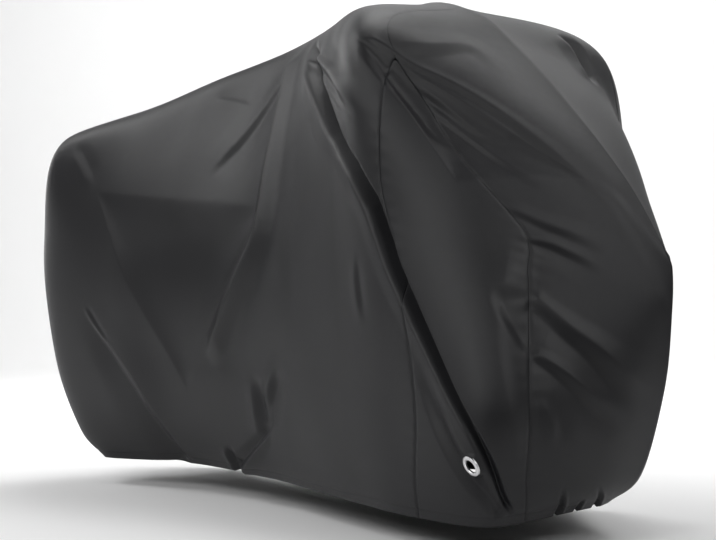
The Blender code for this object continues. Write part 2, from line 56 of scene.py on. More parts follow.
# %% Sections round the cover
ANKLE_Z = 0.07
SKIRT_Z = 0.25
TOP_REST = np.array([-0.170, 0.000, 1.106])
LEVEL_HEIGHTS = (0.0, 0.075, 0.26, 0.56, 0.96, 1.20)
SECTION_DISTANCES = (0.0, 0.15, 0.27, 0.50, 0.69, 0.97, 1.20, 1.53, 1.64, 1.87, 2.00, 2.17, 2.27)
SECTION_COLUMNS = (
    "name", "hem_x", "hem_y", "hem_z", "ankle", "skirt_x", "skirt_y",
    "waist_x", "waist_y", "waist_z", "shoulder_x", "shoulder_y", "shoulder_z",
    "crest_x", "crest_z",
)
NEAR_SECTIONS = (
    ("rear", -1.150, 0.000, 0.000, 0.40, -1.340, 0.000, -1.368, 0.000, 0.550,
     -1.310, 0.000, 0.790, -1.260, 0.835),
    ("rear_turn", -1.165, -0.130, 0.000, 0.45, -1.350, -0.150, -1.378, -0.150, 0.550,
     -1.330, -0.130, 0.795, -1.240, 0.840),
    ("rear_corner", -1.130, -0.235, 0.000, 0.50, -1.305, -0.270, -1.345, -0.280, 0.550,
     -1.285, -0.255, 0.820, -1.190, 0.850),
    ("wheel_rear", -0.980, -0.190, 0.000, 0.45, -1.020, -0.270, -1.040, -0.290, 0.550,
     -1.030, -0.190, 0.880, -1.000, 0.895),
    ("wheel_front", -0.820, -0.160, 0.000, 0.50, -0.850, -0.250, -0.860, -0.280, 0.550,
     -0.850, -0.130, 0.934, -0.830, 0.950),
    ("saddle", -0.542, -0.200, 0.000, 0.50, -0.570, -0.260, -0.590, -0.260, 0.580,
     -0.620, -0.070, 0.988, -0.620, 1.022),
    ("pedal", -0.314, -0.268, 0.000, 0.50, -0.330, -0.310, -0.330, -0.300, 0.580,
     -0.370, -0.160, 1.022, -0.370, 1.066),
    ("stem", -0.020, -0.350, -0.003, 0.50, -0.060, -0.375, -0.100, -0.360, 0.580,
     -0.170, -0.270, 1.038, -0.170, 1.110),
    ("grip", 0.160, -0.388, -0.007, 0.50, 0.140, -0.410, 0.080, -0.400, 0.600,
     0.000, -0.364, 1.004, -0.020, 1.080),
    ("fork", 0.345, -0.375, -0.015, 0.60, 0.380, -0.420, 0.270, -0.360, 0.560,
     0.129, -0.278, 0.924, 0.090, 1.010),
    ("corner", 0.385, -0.290, -0.014, 0.60, 0.460, -0.310, 0.400, -0.240, 0.520,
     0.286, -0.174, 0.805, 0.260, 0.860),
    ("nose_side", 0.392, -0.145, -0.003, 0.60, 0.515, -0.130, 0.515, -0.100, 0.450,
     0.438, -0.073, 0.657, 0.430, 0.690),
    ("nose", 0.362, 0.000, 0.000, 0.62, 0.530, 0.000, 0.552, 0.000, 0.420,
     0.553, 0.000, 0.500, 0.544, 0.530),
)


def mirrored(row):
    """The same section on the other side of the cover."""
    columns = zip(SECTION_COLUMNS, row)
    return tuple(0.0 - value if column.endswith("_y") else value for column, value in columns)


FAR_SECTIONS = (
    *(mirrored(row) for row in NEAR_SECTIONS[:4]),
    ("wheel_front", -0.820, 0.160, 0.000, 0.50, -0.850, 0.250, -0.860, 0.280, 0.550,
     -0.850, 0.130, 0.925, -0.830, 0.950),
    mirrored(NEAR_SECTIONS[5]),
    ("pedal", -0.314, 0.268, 0.000, 0.50, -0.330, 0.300, -0.330, 0.300, 0.580,
     -0.370, 0.150, 1.017, -0.370, 1.066),
    ("stem", -0.150, 0.330, 0.000, 0.50, -0.120, 0.350, -0.120, 0.360, 0.580,
     -0.170, 0.270, 1.022, -0.170, 1.110),
    ("grip", 0.000, 0.300, 0.000, 0.50, 0.060, 0.370, 0.060, 0.390, 0.600,
     0.030, 0.365, 0.996, -0.020, 1.080),
    ("fork", 0.140, 0.200, 0.000, 0.60, 0.220, 0.270, 0.210, 0.280, 0.560,
     0.129, 0.278, 0.900, 0.090, 1.010),
    ("corner", 0.230, 0.120, 0.000, 0.60, 0.370, 0.150, 0.380, 0.150, 0.520,
     0.286, 0.174, 0.775, 0.260, 0.860),
    ("nose_side", 0.320, 0.070, 0.000, 0.60, 0.480, 0.060, 0.500, 0.050, 0.450,
     0.438, 0.073, 0.630, 0.430, 0.690),
    mirrored(NEAR_SECTIONS[-1]),
)
print(len(NEAR_SECTIONS), "sections on each half")

# %% Smooth surface through the sections
TINY = 1e-9


def control_net(rows):
    """Points of the sections, indexed by section and by level."""
    net = []
    for row in rows:
        r = dict(zip(SECTION_COLUMNS, row))
        net.append((
            (r["hem_x"], r["hem_y"], r["hem_z"]),
            (
                r["hem_x"] + r["ankle"] * (r["skirt_x"] - r["hem_x"]),
                r["hem_y"] + r["ankle"] * (r["skirt_y"] - r["hem_y"]),
                ANKLE_Z,
            ),
            (r["skirt_x"], r["skirt_y"], SKIRT_Z),
            (r["waist_x"], r["waist_y"], r["waist_z"]),
            (r["shoulder_x"], r["shoulder_y"], r["shoulder_z"]),
            (r["crest_x"], 0.0, r["crest_z"]),
        ))
    return np.array(net)


def cubic(t, count):
    """First index and the four Catmull-Rom weights at positions t among count points."""
    t = np.clip(t, 0.0, count - 1.0)
    first = np.minimum(t.astype(int), count - 2)
    f = t - first
    weights = np.stack([
        -f + 2 * f**2 - f**3,
        2 - 5 * f**2 + 3 * f**3,
        f + 4 * f**2 - 3 * f**3,
        -(f**2) + f**3,
    ], -1) / 2
    return first, weights


def with_ends(net):
    """The net with one more row carried on past each end."""
    return np.concatenate([2 * net[:1] - net[1:2], net, 2 * net[-1:] - net[-2:-1]])


def base(net, u, v):
    """Smooth surface of one half at sections u and levels v, which are equal arrays."""
    wide = with_ends(with_ends(net).swapaxes(0, 1)).swapaxes(0, 1)
    i, across = cubic(u, net.shape[0])
    j, up = cubic(v, net.shape[1])
    points = np.zeros(np.shape(u) + (3,))
    for a in range(4):
        for b in range(4):
            points += (across[..., a] * up[..., b])[..., None] * wide[i + a, j + b]
    return points


def unit(vectors):
    """Vectors scaled to length one."""
    return vectors / np.maximum(np.linalg.norm(vectors, axis=-1, keepdims=True), TINY)


def facing(net, u, v, side):
    """Outward direction of the smooth surface; side is 1 on the near half and -1 on the far."""
    step = 0.02
    along = base(net, u + step, v) - base(net, u - step, v)
    up = base(net, u, v + step) - base(net, u, v - step)
    return side * unit(np.cross(along, up))


def ease(t):
    """0 to 1, level at both ends."""
    t = np.clip(t, 0.0, 1.0)
    return t * t * (3 - 2 * t)


def settle(t):
    """1 to 0 with a soft start and a long level end."""
    t = np.clip(t, 0.0, 1.0)
    return (1 - t) ** 2 * (1 + t)


NETS = {"near": control_net(NEAR_SECTIONS), "far": control_net(FAR_SECTIONS)}
SIDES = {"near": 1, "far": -1}
print("control net of each half:", NETS["near"].shape[:2], "points")

# %% [markdown]
# ## Folds
# Cloth that hangs from a few points falls into long folds, each with a soft side and a
# steep side.  A fold here is one row of a table: the points that it passes, how far its
# crest rises and its trough sinks, and how wide each part is.  The points are pulled
# straight over the surface, because tension pulls real folds straight.

# %% Folds as heights over the smooth surface
FOLD_STEPS = 31
FOLD_REACH = 1.5
REACH_FADE = 3
SEARCH_ROUNDS = 6


def fold_lift(fold, d):
    """Height of a fold at the distance d to the right of its crest line."""
    crest, trough = fold["crest"], fold["trough"]
    rise = crest * settle(-d / fold["left"])
    fall = crest - (crest + trough) * ease(d / fold["drop"])
    back = -trough * settle((d - fold["drop"]) / fold["right"])
    return np.where(d < 0, rise, np.where(d < fold["drop"], fall, back))


def lay_on(net, u, v, targets):
    """Sections and levels of the points of the smooth surface that lie nearest to targets."""
    for _ in range(SEARCH_ROUNDS):
        step = 0.01
        along = (base(net, u + step, v) - base(net, u - step, v)) / (2 * step)
        up = (base(net, u, v + step) - base(net, u, v - step)) / (2 * step)
        miss = targets - base(net, u, v)
        aa, ab, bb = (along**2).sum(1), (along * up).sum(1), (up**2).sum(1)
        am, bm = (along * miss).sum(1), (up * miss).sum(1)
        scale = np.maximum(aa * bb - ab**2, TINY)
        u = np.clip(u + (am * bb - bm * ab) / scale, 0, len(net) - 1)
        v = np.clip(v + (bm * aa - am * ab) / scale, 0, net.shape[1] - 1)
    return u, v


def fold_line(net, side, fold):
    """Points, tangents and outward directions along a fold, pulled straight over the cloth."""
    knots = np.array(fold["points"])
    first, weights = cubic(np.linspace(0, len(knots) - 1, FOLD_STEPS), len(knots))
    route, reach = (
        sum(weights[:, k, None] * with_ends(p)[first + k] for k in range(4))
        for p in (knots, base(net, knots[:, 0], knots[:, 1]))
    )
    u, v = lay_on(net, route[:, 0], route[:, 1], reach)
    line = base(net, u, v)
    return line, unit(np.gradient(line, axis=0)), facing(net, u, v, side)


def fold_height(net, side, fold, points):
    """Height of one fold over the points of the smooth surface."""
    line, tangent, out = fold_line(net, side, fold)
    widest = max(fold["left"], fold["drop"] + fold["right"])
    reach = FOLD_REACH * max(1.0, fold["taper"]) * widest
    height = np.zeros(len(points))
    low, high = line.min(axis=0) - reach, line.max(axis=0) + reach
    near = np.flatnonzero(((points > low) & (points < high)).all(axis=1))
    points = points[near]
    steps = np.linalg.norm(np.diff(line, axis=0), axis=1)
    run = np.concatenate([[0], np.cumsum(steps)])
    closest = ((points[:, None] - line) ** 2).sum(-1).argmin(1)
    nearest = np.full(len(points), np.inf)
    place, offset = np.zeros((2, len(points)))
    for k in (np.maximum(closest - 1, 0), np.minimum(closest, len(line) - 2)):
        step = line[k + 1] - line[k]
        t = np.clip(((points - line[k]) * step).sum(1) / steps[k] ** 2, 0, 1)[:, None]
        gap = points - line[k] - t * step
        far = np.linalg.norm(gap, axis=1)
        right = np.cross(
            out[k] + t * (out[k + 1] - out[k]), tangent[k] + t * (tangent[k + 1] - tangent[k])
        )
        closer = far < nearest
        nearest = np.where(closer, far, nearest)
        place = np.where(closer, run[k] + t[:, 0] * steps[k], place)
        offset = np.where(closer, (gap * unit(right)).sum(1), offset)
    t = place / run[-1]
    fade = ease(t / fold["fade_in"]) * ease((1 - t) / fold["fade_out"])
    size = 1 + (fold["taper"] - 1) * t
    lift = size * fold_lift(fold, offset / size)
    height[near] = fade * ease(REACH_FADE * (reach - nearest) / reach) * lift
    return height


# %% The main folds
FOLD_COLUMNS = (
    "name", "points", "crest", "trough", "left", "drop", "right", "taper", "fade_in", "fade_out",
)
NEAR_FOLDS = (
    (
        "saddle_roll",
        (
            (5.23, 4.03), (5.40, 3.63), (5.47, 3.33), (5.50, 3.00), (5.23, 2.70), (4.97, 2.47),
            (4.62, 2.08),
        ),
        0.015, 0.003, 0.036, 0.070, 0.14, 0.9, 0.05, 0.10,
    ),
    ("saddle_side", ((5.80, 3.60), (5.85, 3.30), (5.83, 3.03), (6.00, 2.60), (6.03, 2.20)),
     0.000, 0.003, 0.04, 0.060, 0.20, 1.0, 0.35, 0.40),
    ("saddle_facet", ((5.27, 3.93), (5.00, 3.67), (4.80, 3.53), (4.60, 3.43), (4.50, 3.37)),
     0.005, 0.004, 0.08, 0.026, 0.08, 0.9, 0.20, 0.30),
    (
        "great_fold",
        (
            (5.60, 3.93), (7.50, 3.27), (8.20, 2.67), (8.66, 2.10), (8.91, 1.75), (9.13, 1.43),
            (9.33, 1.12), (9.53, 0.75), (9.80, 0.23),
        ),
        0.010, 0.055, 0.07, 0.050, 0.026, 0.25, 0.10, 0.02,
    ),
    ("shoulder_fold", ((6.07, 3.92), (7.27, 3.67), (7.93, 3.57), (8.30, 3.50)),
     0.012, 0.004, 0.03, 0.050, 0.05, 1.0, 0.20, 0.45),
    ("grip_ridge", ((10.97, 3.93), (10.40, 4.00), (9.47, 4.00), (8.73, 3.97), (8.07, 4.00)),
     0.004, 0.008, 0.03, 0.024, 0.06, 0.5, 0.40, 0.06),
    ("grip_crease", ((7.93, 3.87), (8.43, 3.73), (8.73, 3.63), (8.97, 3.53), (9.37, 3.50)),
     0.000, 0.008, 0.02, 0.020, 0.05, 1.2, 0.20, 0.35),
    ("streak_high", ((10.00, 4.00), (9.77, 3.77), (9.47, 3.77), (9.13, 3.83), (8.77, 3.87)),
     0.004, 0.004, 0.024, 0.022, 0.04, 0.5, 0.55, 0.20),
    ("streak_mid", ((10.37, 3.60), (9.97, 3.60), (9.57, 3.67), (9.23, 3.73), (8.93, 3.77)),
     0.005, 0.004, 0.030, 0.026, 0.05, 0.4, 0.55, 0.20),
    ("strip_valley", ((8.33, 2.20), (8.47, 1.83), (8.83, 1.10), (9.13, 0.67), (9.50, 0.10)),
     0.000, 0.012, 0.02, 0.028, 0.035, 1.0, 0.40, 0.04),
    ("front_roll", ((9.80, 3.28), (9.62, 2.90), (9.45, 2.50), (9.50, 2.13), (9.80, 0.95)),
     0.012, 0.003, 0.12, 0.070, 0.16, 1.0, 0.35, 0.30),
    ("inner_crease", ((9.33, 2.77), (9.40, 2.60), (9.57, 2.47), (9.87, 2.30), (10.2, 2.20)),
     0.000, 0.011, 0.02, 0.034, 0.09, 0.7, 0.20, 0.45),
    ("nose_fold_high", ((11.67, 1.90), (11.03, 2.27), (10.67, 2.47), (10.33, 2.60), (9.90, 2.77)),
     0.012, 0.012, 0.06, 0.060, 0.09, 0.35, 0.45, 0.06),
    ("nose_fold_low", ((11.30, 1.73), (10.77, 1.97), (10.33, 2.23), (9.93, 2.37)),
     0.009, 0.008, 0.045, 0.045, 0.08, 0.4, 0.45, 0.06),
    ("nose_streak_high", ((10.9, 3.38), (10.4, 3.33), (10.1, 3.30), (9.65, 3.32)),
     0.005, 0.003, 0.04, 0.026, 0.05, 0.5, 0.60, 0.20),
    ("nose_streak_low", ((10.8, 3.18), (10.4, 3.18), (10.1, 3.17), (9.75, 3.13)),
     0.005, 0.005, 0.03, 0.024, 0.05, 0.5, 0.60, 0.30),
    ("rear_crease", ((3.93, 0.12), (3.83, 0.93), (3.50, 1.50), (3.13, 1.97), (2.60, 2.55)),
     0.003, 0.013, 0.14, 0.038, 0.14, 0.4, 0.06, 0.30),
    ("hem_fold_rear", ((5.28, 2.00), (5.33, 1.63), (5.24, 1.18)),
     0.006, 0.013, 0.05, 0.036, 0.07, 1.0, 0.50, 0.45),
    ("hem_fold_front", ((5.94, 2.20), (5.66, 1.87), (5.46, 1.46)),
     0.005, 0.011, 0.05, 0.032, 0.07, 1.0, 0.50, 0.45),
    ("hem_fold_low", ((4.72, 0.05), (5.28, 1.03), (5.75, 1.45)),
     0.008, 0.012, 0.04, 0.020, 0.03, 0.6, 0.04, 0.35),
    ("hem_pocket", ((4.60, 0.95), (4.60, 0.50), (4.55, 0.03)),
     0.004, 0.010, 0.03, 0.020, 0.03, 1.0, 0.40, 0.02),
    ("hood_band", ((9.60, 4.50), (9.03, 4.55), (8.80, 4.23), (8.37, 4.03)),
     0.004, 0.002, 0.06, 0.040, 0.06, 1.0, 0.60, 0.25),
)
FAR_FOLDS = (
    ("far_grip_crease", ((8.30, 4.50), (8.60, 4.40), (8.95, 4.32), (9.20, 4.25)),
     0.006, 0.014, 0.04, 0.025, 0.04, 1.0, 0.30, 0.30),
    ("far_saddle_roll", ((5.40, 3.95), (5.60, 3.30), (5.70, 2.60), (5.60, 1.80)),
     0.020, 0.014, 0.10, 0.050, 0.10, 1.0, 0.20, 0.30),
    ("far_long_fold", ((5.80, 3.90), (6.60, 3.10), (7.40, 2.10), (8.30, 0.20)),
     0.020, 0.020, 0.10, 0.040, 0.08, 1.0, 0.12, 0.10),
    ("far_rear_fold", ((4.60, 3.80), (3.80, 2.90), (3.20, 2.00), (3.00, 0.60)),
     0.014, 0.012, 0.10, 0.050, 0.10, 1.0, 0.25, 0.25),
    ("far_hem_fold", ((6.30, 1.80), (6.30, 1.40), (6.20, 0.90), (6.10, 0.05)),
     0.016, 0.012, 0.05, 0.040, 0.06, 1.0, 0.40, 0.05),
)
print(len(NEAR_FOLDS) + len(FAR_FOLDS), "main folds")

# %% [markdown]
# ## Dents
# Where the cloth hangs hollow between three supports it makes a flat dent with straight
# edges: one under the grip and one behind the saddle.  Three corners, and for each edge a
# slope and a soft width over which the slope begins, are enough.  The depth is small near
# every edge and greatest far from all three.

# %% Dents between three supports
NEAR_DENTS = (
    ("rear_dent", ((2.73, 3.40), (5.53, 3.15), (4.30, 1.70)),
     (0.27, 0.26, 0.36), (0.030, 0.040, 0.012)),
    ("grip_dent", ((7.87, 3.93), (10.77, 3.95), (9.20, 3.34)),
     (1.20, 0.60, 1.60), (0.006, 0.050, 0.006)),
)
LEAST_DISTANCE = 1e-4


def dent_height(net, side, corners, slopes, widths, points):
    """Height, below zero, of a three-sided dent; slope k is that of the edge after corner k."""
    corners = np.array(corners)
    places = base(net, corners[:, 0], corners[:, 1])
    out = unit(side * np.cross(places[1] - places[0], places[2] - places[0]))
    if (facing(net, corners[:1, 0], corners[:1, 1], side)[0] * out).sum() < 0:
        out = -out
    resistance = np.zeros(len(points))
    inside = np.ones(len(points), dtype=bool)
    for k in range(3):
        edge = places[(k + 1) % 3] - places[k]
        inward = unit(np.cross(out, edge))
        if ((places[(k + 2) % 3] - places[k]) * inward).sum() < 0:
            inward = -inward
        distance = ((points - places[k]) * inward).sum(axis=1)
        inside &= distance > 0
        distance = np.maximum(distance, LEAST_DISTANCE)
        resistance += (distance + widths[k]) / (slopes[k] * distance**2)
    return np.where(inside, -1 / resistance, 0.0)


print(len(NEAR_DENTS), "dents")

# %% [markdown]
# ## Fine creases
# Between the main folds the coating shows smaller ones: short creases where the cloth is
# caught, and shallow waves from being packed away.  The creases use the same table form.
# The waves are a sum of a few long sine waves, which never repeat over the cover's size.

# %% Fine creases and shallow waves
NEAR_CREASES = (
    ("shoulder_line_low", ((5.67, 3.90), (6.40, 3.73), (7.37, 3.57), (7.90, 3.47)),
     0.003, 0.003, 0.014, 0.012, 0.02, 1.3, 0.10, 0.40),
    ("shoulder_line_high", ((5.97, 3.90), (7.07, 3.73), (7.90, 3.63)),
     0.003, 0.003, 0.014, 0.012, 0.02, 1.3, 0.10, 0.40),
    ("corner_line", ((2.30, 3.80), (2.50, 3.60), (2.67, 3.40)),
     0.002, 0.0025, 0.04, 0.030, 0.04, 1.0, 0.30, 0.40),
    ("top_line", ((4.20, 3.87), (4.57, 3.77), (4.80, 3.70)),
     0.0015, 0.002, 0.03, 0.020, 0.04, 1.0, 0.30, 0.30),
    ("rear_kink", ((2.63, 2.50), (2.77, 2.30), (2.93, 2.13)),
     0.002, 0.003, 0.012, 0.010, 0.02, 1.0, 0.30, 0.40),
    ("strip_line", ((7.50, 2.87), (7.50, 2.63), (7.57, 2.40)),
     0.002, 0.002, 0.03, 0.020, 0.03, 1.0, 0.40, 0.40),
    ("nose_ripple", ((10.03, 2.00), (10.20, 1.80), (10.30, 1.47)),
     0.003, 0.003, 0.03, 0.024, 0.04, 1.0, 0.35, 0.45),
    ("hem_tuck_rear", ((10.87, 0.05), (10.75, 0.40), (10.53, 0.97)),
     0.004, 0.009, 0.014, 0.012, 0.014, 0.5, 0.02, 0.45),
    ("hem_tuck_front", ((11.87, 0.05), (11.50, 0.50), (11.07, 0.97)),
     0.004, 0.008, 0.014, 0.012, 0.014, 0.5, 0.02, 0.45),
    ("hem_tuck_low", ((11.30, 0.04), (11.15, 0.35), (11.00, 0.60)),
     0.003, 0.006, 0.012, 0.010, 0.012, 0.6, 0.02, 0.45),
)
WAVES = (
    (7.1, 3.7, 0.4, 0.0011), (-5.3, 8.9, 1.9, 0.0009), (13.7, -4.1, 2.6, 0.0006),
    (-9.7, -15.1, 4.2, 0.0005), (21.3, 11.9, 5.0, 0.0003), (-17.9, 24.7, 0.9, 0.00025),
)
WAVE_SLANT = 0.6
WAVE_BEND = (1.3, 3.1, 2.3)


def waves(points):
    """Shallow uneven waves, in metres."""
    x, y, z = points.T
    bend, bend_up, bend_along = WAVE_BEND
    total = np.zeros(len(points))
    for across, up, phase, size in WAVES:
        turn = across * (x - WAVE_SLANT * y) + up * z + phase
        total += size * np.sin(turn + bend * np.sin(bend_up * z + bend_along * x))
    return total


print(len(NEAR_CREASES), "creases and", len(WAVES), "waves")

# %% The folded cloth
EYELET_CENTRE = np.array([0.380, -0.413, 0.114])
EYELET_FACING = unit(np.array([-0.12, -0.89, -0.44]))
EYELET_FLAT = 0.0225
EYELET_BLEND = 0.0300
EYELET_DEPTH = 0.016
EYELET_FADE = 0.010


def cloth(half, u, v):
    """Points of the folded cloth and their outward directions, on one half of the cover."""
    rows = NEAR_FOLDS + NEAR_CREASES if half == "near" else FAR_FOLDS
    net, side = NETS[half], SIDES[half]
    points, out = base(net, u, v), facing(net, u, v, side)
    lift = waves(points)
    for row in rows:
        lift += fold_height(net, side, dict(zip(FOLD_COLUMNS, row)), points)
    for name, *dent in NEAR_DENTS if half == "near" else ():
        lift += dent_height(net, side, *dent, points)
    points = points + lift[:, None] * out
    height = (points - EYELET_CENTRE) @ EYELET_FACING
    away = np.linalg.norm(points - EYELET_CENTRE - height[:, None] * EYELET_FACING, axis=1)
    share = ease((EYELET_BLEND - away) / (EYELET_BLEND - EYELET_FLAT))
    # Only the cloth near the eyelet's own plane is pressed flat, not the fold beside it.
    near_plane = ease((EYELET_DEPTH + height) / EYELET_FADE)
    share = share * near_plane * (height < EYELET_BLEND)
    return points - (share * height)[:, None] * EYELET_FACING, out


print("eyelet at", EYELET_CENTRE, "m")

# %% [markdown]
# ## Sewn panels
# The cover is sewn from two side panels, a front panel and a long wedge low on the near
# side.  Each one is a grid of points between two seam lines.  The grid is closer along
# the seams and the hem, where the cloth dips into the stitching and puckers.

# %% Seam lines and grids
# Each row: a level, then the sections of the rear and the front seam there.
NEAR_SEAMS = (
    (0.00, 8.23, 10.20),
    (1.10, 8.27, 9.97),
    (2.30, 8.33, 9.90),
    (2.90, 8.27, 9.88),
    (3.20, 8.19, 9.86),
    (3.40, 8.27, 9.50),
    (3.60, 8.38, 9.20),
    (3.80, 8.48, 8.93),
    (3.94, 8.56, 8.60),
)
TOP_SEAM = (
    (3.94, 8.58),
    (4.20, 8.22),
    (4.50, 7.90),
    (5.00, 7.70),
)
FAR_SEAM = (
    (0.00, 9.60),
    (2.30, 9.60),
    (3.20, 9.20),
    (3.80, 8.60),
    (4.20, 8.10),
    (4.50, 7.85),
    (5.00, 7.70),
)
WEDGE_TOP = 3.94
GROOVE = 0.0016
TOP_GROOVE = 0.2
GROOVE_WIDTH = 0.0035
PUCKER = 0.0004
PUCKER_LENGTH = 0.034
PUCKER_REACH = 0.030
PUCKER_CLEAR = 0.008
PUCKER_DRIFT = (2.0, 11.0)
HEM_DEPTH = 0.022
HEM_GROOVE = 0.6 * GROOVE
HEM_GROOVE_WIDTH = 0.0018
NARROW = 0.06
LEVELS = range(len(LEVEL_HEIGHTS))
JOIN_HEIGHT = float(np.interp(WEDGE_TOP, LEVELS, LEVEL_HEIGHTS))
PLACES = range(len(SECTION_DISTANCES))
ROUNDING = 1e-6
EDGE_ROWS = np.array([0.0, 0.0015, 0.0035, 0.007])
HEM_ROWS = (0.006, 0.012, 0.017, 0.020, 0.022, 0.024, 0.027)


def smooth_table(rows, column, at):
    """A table's column as a smooth function of its first column."""
    x = np.array([row[0] for row in rows])
    y = np.array([row[column] for row in rows])
    slope = np.gradient(y, x)
    k = np.clip(np.searchsorted(x, at) - 1, 0, len(x) - 2)
    width = x[k + 1] - x[k]
    t = np.clip((at - x[k]) / width, 0, 1)
    return (
        (1 + 2 * t) * (1 - t) ** 2 * y[k]
        + t * (1 - t) ** 2 * width * slope[k]
        + t * t * (3 - 2 * t) * y[k + 1]
        - t * t * (1 - t) * width * slope[k + 1]
    )


def near_seam(column, height):
    """Section of the rear (1) or front (2) seam of the near half at some heights."""
    at = np.interp(height, LEVEL_HEIGHTS, LEVELS)
    low, high = smooth_table(NEAR_SEAMS, column, at), smooth_table(TOP_SEAM, 1, at)
    return np.where(at <= WEDGE_TOP + ROUNDING, low, high)


def far_seam(height):
    """Section of the seam of the far half at some heights."""
    return smooth_table(FAR_SEAM, 1, np.interp(height, LEVEL_HEIGHTS, LEVELS))


def heights(top, spacing):
    """Heights up the cover from the hem to a level, closer near the hem's stitching."""
    height = np.interp(top, LEVELS, LEVEL_HEIGHTS)
    even = np.linspace(0, JOIN_HEIGHT, round(JOIN_HEIGHT / spacing) + 1)
    if height > JOIN_HEIGHT:
        above = np.linspace(JOIN_HEIGHT, height, round((height - JOIN_HEIGHT) / spacing) + 1)
        even = np.concatenate([even, above[1:]])
    return np.concatenate([[0.0], HEM_ROWS, even[even > HEM_ROWS[-1] + spacing / 2]])


def grid(half, height, start, end, spacing, seams):
    """Cloth points between two lines of sections, closer along the edges named in seams."""
    first = np.interp(np.broadcast_to(start, height.shape), PLACES, SECTION_DISTANCES)
    last = np.interp(np.broadcast_to(end, height.shape), PLACES, SECTION_DISTANCES)
    count = max(8, round(np.max(np.abs(last - first)) / spacing))
    share = np.linspace(0, 1, count + 1)
    span = np.maximum(last - first, ROUNDING)[:, None]
    columns = np.broadcast_to(share, (len(height), count + 1)).copy()
    shrink = np.minimum(1, span / NARROW)
    if "first" in seams:
        near = EDGE_ROWS * shrink / span
        rest = near[:, -1:] + (1 - near[:, -1:]) * share[1:]
        columns = np.concatenate([near, rest], axis=1)
    if "last" in seams:
        near = 1 - EDGE_ROWS[::-1] * shrink / span
        columns = np.concatenate([columns[:, :-1] * near[:, :1], near], axis=1)
    distance = first[:, None] + columns * (last - first)[:, None]
    u = np.interp(distance, SECTION_DISTANCES, PLACES)
    v = np.interp(height, LEVEL_HEIGHTS, LEVELS)
    v = np.broadcast_to(v[:, None], u.shape)
    points, out = cloth(half, u.ravel(), v.ravel())
    up = np.broadcast_to(height[:, None], u.shape)
    to_seam = np.full(u.shape, 1.0)
    if "first" in seams:
        to_seam = np.minimum(to_seam, distance - first[:, None])
    if "last" in seams:
        to_seam = np.minimum(to_seam, last[:, None] - distance)
    lift = sewing(to_seam, up)
    points = points + lift.ravel()[:, None] * out - TOP_REST
    return points.reshape(u.shape + (3,)), np.stack([distance, up], axis=-1)


def sewing(to_seam, up):
    """Dip and puckers of the cloth at a distance from the seam, and over the hem."""
    depth = GROOVE * np.where(up > JOIN_HEIGHT, TOP_GROOVE, 1.0)
    dip = -depth * np.exp(-((to_seam / GROOVE_WIDTH) ** 2))
    drift, rate = PUCKER_DRIFT
    wave = np.sin(2 * math.pi * up / PUCKER_LENGTH + drift * np.sin(rate * up))
    fade = np.exp(-((to_seam / PUCKER_REACH) ** 2))
    pucker = PUCKER * (up < JOIN_HEIGHT) * wave * fade * ease(to_seam / PUCKER_CLEAR)
    hem = -HEM_GROOVE * np.exp(-(((up - HEM_DEPTH) / HEM_GROOVE_WIDTH) ** 2))
    return dip + pucker + hem


print("wedge reaches", round(JOIN_HEIGHT, 3), "m over the hem")

# %% Grids to meshes
CLOTH = 0.0008
MERGE = 1e-5


def add_object(name, data):
    """A new object in the scene."""
    obj = bpy.data.objects.new(name, data)
    bpy.context.scene.collection.objects.link(obj)
    return obj


def panel(name, parts, triangles, hole=None):
    """One closed sheet from grids that meet along their edges, with a UV map in metres."""
    bm = bmesh.new()
    uv = bm.loops.layers.uv.new("UVMap")
    for (points, flat), flipped in parts:
        rows, columns = points.shape[:2]
        verts = [[bm.verts.new(p) for p in line] for line in points]
        for i in range(rows - 1):
            for j in range(columns - 1):
                ring = [(i, j), (i, j + 1), (i + 1, j + 1), (i + 1, j)]
                if flipped:
                    ring.reverse()
                face = bm.faces.new([verts[a][b] for a, b in ring])
                face.smooth = True
                for loop, (a, b) in zip(face.loops, ring):
                    loop[uv].uv = flat[a, b] * ((-1, 1) if flipped else (1, 1))
    bmesh.ops.remove_doubles(bm, verts=bm.verts, dist=MERGE)
    if hole is not None:
        centre, radius = hole
        middle = Vector(centre)
        cut = [f for f in bm.faces if (f.calc_center_median() - middle).length < radius]
        bmesh.ops.delete(bm, geom=cut, context="FACES")
    bmesh.ops.triangulate(bm, faces=bm.faces)
    bm.verts.index_update()
    inner = [v.index for v in bm.verts if not v.is_boundary]
    ratio = triangles / len(bm.faces)
    mesh = bpy.data.meshes.new(name)
    bm.to_mesh(mesh)
    bm.free()
    obj = add_object(name, mesh)
    if ratio < 1:
        obj.vertex_groups.new(name="inner").add(inner, 1.0, "REPLACE")
        fewer = obj.modifiers.new("Fewer", "DECIMATE")
        fewer.ratio = ratio
        fewer.vertex_group = "inner"
    thick = obj.modifiers.new("Thickness", "SOLIDIFY")
    thick.thickness = CLOTH
    thick.offset = -1.0
    graph = bpy.context.evaluated_depsgraph_get()
    solid = bpy.data.meshes.new_from_object(obj.evaluated_get(graph))
    obj.modifiers.clear()
    obj.data = solid
    solid.name = name
    print(name, len(solid.polygons), "faces")
    return obj


# %% The four panels
MIDDLE, NOSE = 0.0, len(NEAR_SECTIONS) - 1.0
COARSE = 1.0
NEAR_SPACING = 0.0042 * COARSE
WEDGE_SPACING = 0.0036 * COARSE
FAR_SPACING = 0.0085 * COARSE
EYELET_HOLE = 0.0175

